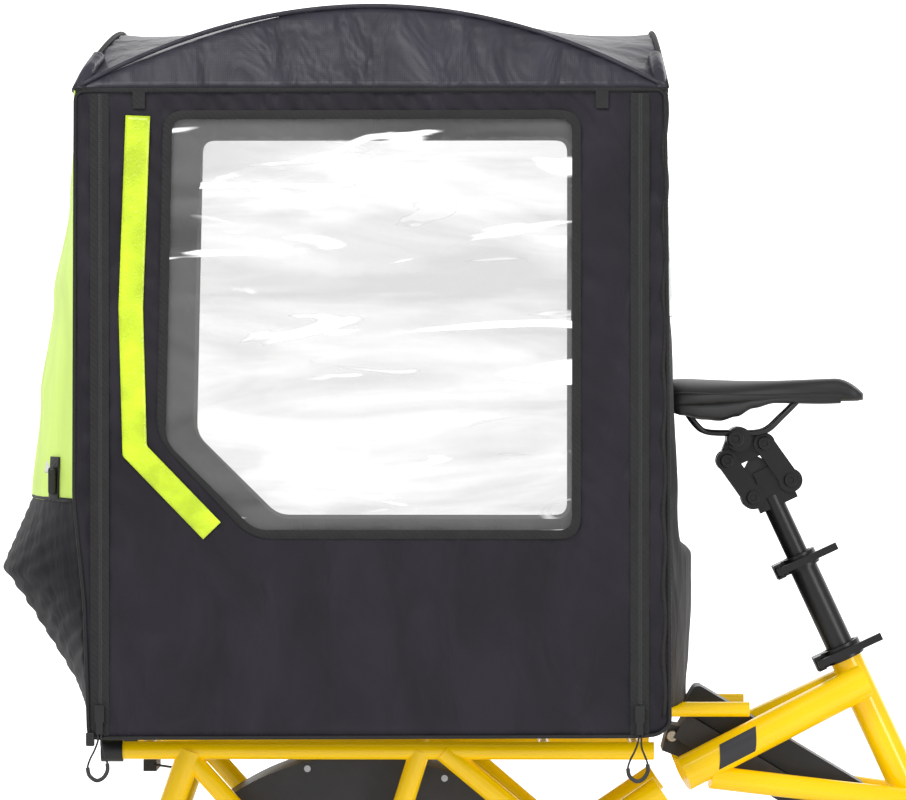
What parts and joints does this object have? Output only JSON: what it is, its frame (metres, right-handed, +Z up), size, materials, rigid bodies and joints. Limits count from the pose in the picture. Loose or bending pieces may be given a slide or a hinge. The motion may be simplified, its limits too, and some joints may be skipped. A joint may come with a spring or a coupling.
{
  "type": "cargo bicycle",
  "caption": "longtail electric cargo bicycle with small wheels, a sprung telescopic seat post, a folding handlepost and a fabric passenger cabin with clear side windows over the rear rack",
  "frame": {"origin": "on the ground, at the middle of the bicycle's length and width", "axes": "+X forward along the bicycle, +Y to the rider's left, +Z up"},
  "size_m": [1.9749, 0.6536, 1.4515],
  "materials": {
    "frame_yellow": "gloss yellow paint",
    "black_metal": "satin black paint",
    "black_plastic": "moulded, fine grain",
    "board": "matt composite board",
    "charcoal_fabric": "coated ripstop cloth",
    "roof_fabric": "satin coated cloth",
    "green_fabric": "pale green coated cloth",
    "film": "clear film",
    "tyre_rubber": "matt rubber",
    "wheel_black": "black anodised",
    "steel": "brushed",
    "chain_steel": "oiled",
    "saddle_cover": "fine grained cover",
    "lamp_red": "red lens",
    "cord": "braided cord"
  },
  "bodies": {
    "frame_and_cabin": {"head_tube": "frame_yellow", "down_tube": "frame_yellow", "seat_tube": "frame_yellow", "side_beams": "frame_yellow", "rear_stays": "frame_yellow", "rack_rails": "frame_yellow", "tail_struts": "frame_yellow", "mid_struts": "frame_yellow", "tail_bumper": "frame_yellow", "deck_board": "board", "rail_end_caps": "black_plastic", "rear_light": "lamp_red", "motor": "black_metal", "battery": "black_plastic", "battery_dock": "black_plastic", "rear_mudguard": "black_plastic", "side_guards": "black_plastic", "guard_screws": "steel", "rear_caliper": "black_metal", "seat_collar": "black_metal", "cabin_poles": "black_metal", "side_panel_right": "charcoal_fabric", "side_panel_left": "charcoal_fabric", "roof": "roof_fabric", "rear_panel": "green_fabric", "rear_pouch": "charcoal_fabric", "front_panel": "charcoal_fabric", "window_films": "film", "chain": "chain_steel"},
    "steerer": {"fork_crown": "black_metal"},
    "fork_lowers": {"fork_legs": "black_metal"},
    "front_wheel_set": {"front_wheel": "wheel_black", "front_tyre": "tyre_rubber"},
    "rear_wheel_set": {"rear_wheel": "wheel_black", "rear_tyre": "tyre_rubber"},
    "rear_sprocket": {"sprocket": "steel"},
    "crankset": {"cranks": "black_metal"},
    "right_pedal": {"pedal_right": "black_plastic"},
    "left_pedal": {"pedal_left": "black_plastic"},
    "stand": {"centre_stand": "black_metal"},
    "stem": {"handlepost": "black_metal", "handlebar": "black_plastic"},
    "right_lever": {"brake_lever_right": "black_plastic"},
    "left_lever": {"brake_lever_left": "black_plastic"},
    "lower_seatpost": {"lower_post": "black_metal"},
    "upper_seatpost": {"upper_post": "black_metal"},
    "lower_collar_lever": {"collar_lever_lower": "black_metal"},
    "upper_collar_lever": {"collar_lever_upper": "black_metal"},
    "rear_link": {"link_rear": "black_metal"},
    "front_link": {"link_front": "black_metal"},
    "saddle_head": {"seat_head": "black_metal", "saddle": "saddle_cover"},
    "zip_right_rear": {"slider_right_rear": "black_plastic", "pull_right_rear": "cord"},
    "zip_right_front": {"slider_right_front": "black_plastic", "pull_right_front": "cord"},
    "zip_left_rear": {"slider_left_rear": "black_plastic", "pull_left_rear": "cord"},
    "zip_left_front": {"slider_left_front": "black_plastic", "pull_left_front": "cord"}
  },
  "joints": [
    {"name": "steering", "type": "hinge", "parent": "frame_and_cabin", "child": "steerer", "pos_m": [0.54814, 0, 0.61597], "axis": [-0.342, 0, 0.9397], "range_deg": [-60, 60], "stiffness_Nm_per_rad": 4},
    {"name": "fork_slide", "type": "slide", "parent": "steerer", "child": "fork_lowers", "axis": [-0.342, 0, 0.9397], "range_m": [0, 0.04], "stiffness_N_per_m": 9000, "springref_m": -0.03},
    {"name": "front_wheel_spin", "type": "hinge", "parent": "fork_lowers", "child": "front_wheel_set", "pos_m": [0.7245, 0, 0.263], "axis": [0, 1, 0], "continuous": true},
    {"name": "rear_wheel_spin", "type": "hinge", "parent": "frame_and_cabin", "child": "rear_wheel_set", "pos_m": [-0.5505, 0, 0.263], "axis": [0, 1, 0], "continuous": true},
    {"name": "crank_spin", "type": "hinge", "parent": "frame_and_cabin", "child": "crankset", "pos_m": [0.1395, 0, 0.288], "axis": [0, 1, 0], "continuous": true},
    {"name": "sprocket_spin", "type": "hinge", "parent": "frame_and_cabin", "child": "rear_sprocket", "pos_m": [-0.5505, 0, 0.263], "axis": [0, 1, 0], "continuous": true},
    {"name": "right_pedal_spin", "type": "hinge", "parent": "crankset", "child": "right_pedal", "pos_m": [0.3095, -0.119, 0.288], "axis": [0, 1, 0], "continuous": true},
    {"name": "left_pedal_spin", "type": "hinge", "parent": "crankset", "child": "left_pedal", "pos_m": [-0.0305, 0.119, 0.288], "axis": [0, 1, 0], "continuous": true},
    {"name": "stand_fold", "type": "hinge", "parent": "frame_and_cabin", "child": "stand", "pos_m": [-0.1205, 0, 0.245], "axis": [0, 1, 0], "range_deg": [0, 95]},
    {"name": "handlepost_fold", "type": "hinge", "parent": "steerer", "child": "stem", "pos_m": [0.49068, 0, 0.77384], "axis": [0, 1, 0], "range_deg": [0, 75]},
    {"name": "right_brake_pull", "type": "hinge", "parent": "stem", "child": "right_lever", "pos_m": [0.47589, -0.20306, 1.05925], "axis": [0, 0, -1], "range_deg": [0, 12], "stiffness_Nm_per_rad": 1.2, "springref_deg": -5.73},
    {"name": "left_brake_pull", "type": "hinge", "parent": "stem", "child": "left_lever", "pos_m": [0.47589, 0.20306, 1.05925], "axis": [0, 0, 1], "range_deg": [0, 12], "stiffness_Nm_per_rad": 1.2, "springref_deg": -5.73},
    {"name": "lower_post_slide", "type": "slide", "parent": "frame_and_cabin", "child": "lower_seatpost", "axis": [-0.4226, 0, 0.9063], "range_m": [-0.06, 0]},
    {"name": "upper_post_slide", "type": "slide", "parent": "lower_seatpost", "child": "upper_seatpost", "axis": [-0.4226, 0, 0.9063], "range_m": [-0.04, 0]},
    {"name": "lower_collar_release", "type": "hinge", "parent": "frame_and_cabin", "child": "lower_collar_lever", "pos_m": [0.00602, -0.017, 0.65613], "axis": [0.4226, 0, -0.9063], "range_deg": [0, 105]},
    {"name": "upper_collar_release", "type": "hinge", "parent": "lower_seatpost", "child": "upper_collar_lever", "pos_m": [-0.04318, -0.017, 0.7678], "axis": [0.4226, 0, -0.9063], "range_deg": [0, 105]},
    {"name": "rear_link_swing", "type": "hinge", "parent": "upper_seatpost", "child": "rear_link", "pos_m": [-0.07522, 0, 0.85768], "axis": [0, -1, 0], "range_deg": [0, 28], "stiffness_Nm_per_rad": 60, "springref_deg": -20.05},
    {"name": "front_link_swing", "type": "hinge", "parent": "upper_seatpost", "child": "front_link", "pos_m": [-0.02991, 0, 0.87882], "axis": [0, -1, 0], "range_deg": [0, 28]},
    {"name": "saddle_head_level", "type": "hinge", "parent": "rear_link", "child": "saddle_head", "pos_m": [-0.10711, 0, 0.9024], "axis": [0, -1, 0], "range_deg": [-28, 0]},
    {"name": "right_rear_zip", "type": "slide", "parent": "frame_and_cabin", "child": "zip_right_rear", "axis": [0, 0, 1], "range_m": [0, 0.69]},
    {"name": "right_front_zip", "type": "slide", "parent": "frame_and_cabin", "child": "zip_right_front", "axis": [0, 0, 1], "range_m": [0, 0.69]},
    {"name": "left_rear_zip", "type": "slide", "parent": "frame_and_cabin", "child": "zip_left_rear", "axis": [0, 0, 1], "range_m": [0, 0.69]},
    {"name": "left_front_zip", "type": "slide", "parent": "frame_and_cabin", "child": "zip_left_front", "axis": [0, 0, 1], "range_m": [0, 0.69]}
  ],
  "couplings": [
    {"joint": "sprocket_spin", "follows": "crank_spin", "ratio": 2},
    {"joint": "front_link_swing", "follows": "rear_link_swing", "ratio": 1},
    {"joint": "saddle_head_level", "follows": "rear_link_swing", "ratio": -1}
  ]
}
